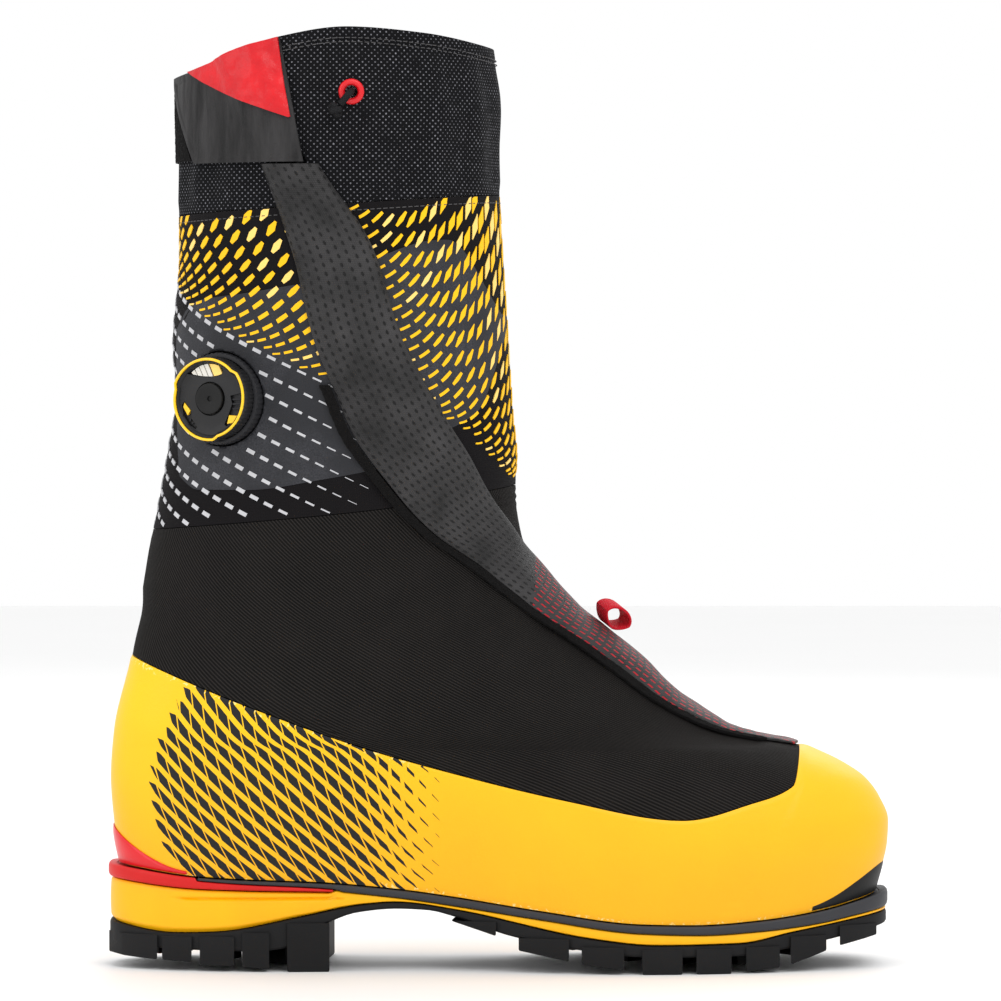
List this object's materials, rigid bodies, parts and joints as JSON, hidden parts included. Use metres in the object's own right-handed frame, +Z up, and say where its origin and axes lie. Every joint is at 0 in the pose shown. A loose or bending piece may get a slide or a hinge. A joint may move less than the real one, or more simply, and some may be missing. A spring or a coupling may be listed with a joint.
{
  "type": "mountaineering boot",
  "caption": "Right high-altitude double boot with a zipped gaiter, wrap-over flap, lace dial, removable-style liner and a lugged sole with crampon ledges.",
  "frame": {"origin": "on the ground, under the middle of the boot's bounding box", "axes": "+X to the toe, +Y to the inner (medial) side, +Z up"},
  "size_m": [0.3152, 0.1141, 0.3758],
  "materials": {
    "black_rubber": "matt",
    "yellow_foam": "satin",
    "yellow_rubber": "satin",
    "grey_plastic": "satin",
    "red_plastic": "gloss",
    "black_plastic": "matt",
    "yellow_plastic": "gloss",
    "black_fabric": "woven",
    "print_fabric": "printed with yellow and grey dashes",
    "knit_fabric": "dotted stretch knit",
    "charcoal_fabric": "perforated film",
    "red_fabric": "webbing",
    "pale_fabric": "felted lining",
    "steel": "brushed"
  },
  "bodies": {
    "boot": {"outsole": "black_rubber", "midsole": "yellow_foam", "welt": "grey_plastic", "heel_ledge": "red_plastic", "heel_stay": "red_plastic", "toe_guard": "black_rubber", "rand": "yellow_rubber", "lower_gaiter": "black_fabric", "print_gaiter": "print_fabric", "cuff": "knit_fabric", "zip_tape": "black_fabric", "zip_chain": "black_plastic", "zip_flap": "charcoal_fabric", "flap_strip": "black_fabric", "rear_patch": "black_fabric", "eyelet": "red_plastic", "drawcord": "black_fabric", "drawcord_knot": "black_fabric", "instep_loop": "red_fabric", "shell_upper": "charcoal_fabric", "shell_tongue": "charcoal_fabric", "liner": "pale_fabric", "insole_board": "black_plastic", "footbed": "yellow_foam", "liner_loop": "red_fabric", "dial_base": "black_plastic", "dial_post": "steel", "lace_cable": "steel", "lace_guide_1": "black_plastic", "lace_guide_2": "black_plastic", "lace_guide_3": "black_plastic"},
    "dial_core": {"dial_cap": "black_plastic"},
    "dial_knob": {"dial_knob": "black_rubber", "dial_ring": "yellow_plastic", "dial_spool": "black_plastic"},
    "flap_tab": {"flap_tab": "charcoal_fabric", "pull_patch": "red_fabric"},
    "zip_slider": {"zip_slider": "steel", "zip_pull": "steel"}
  },
  "joints": [
    {"name": "dial_pull", "type": "slide", "parent": "boot", "child": "dial_core", "axis": [-0.4695, -0.8829, 0], "range_m": [0, 0.0025]},
    {"name": "dial_turn", "type": "hinge", "parent": "dial_core", "child": "dial_knob", "pos_m": [-0.10866, -0.03164, 0.22853], "axis": [-0.4695, -0.8829, 0], "continuous": true},
    {"name": "tab_peel", "type": "hinge", "parent": "boot", "child": "flap_tab", "pos_m": [-0.07668, -0.05159, 0.3225], "axis": [-0.1987, 0.0599, 0.9782], "range_deg": [0, 100]},
    {"name": "zip_slide", "type": "slide", "parent": "boot", "child": "zip_slider", "axis": [0.4247, -0.0854, -0.9013], "range_m": [0, 0.012]}
  ]
}
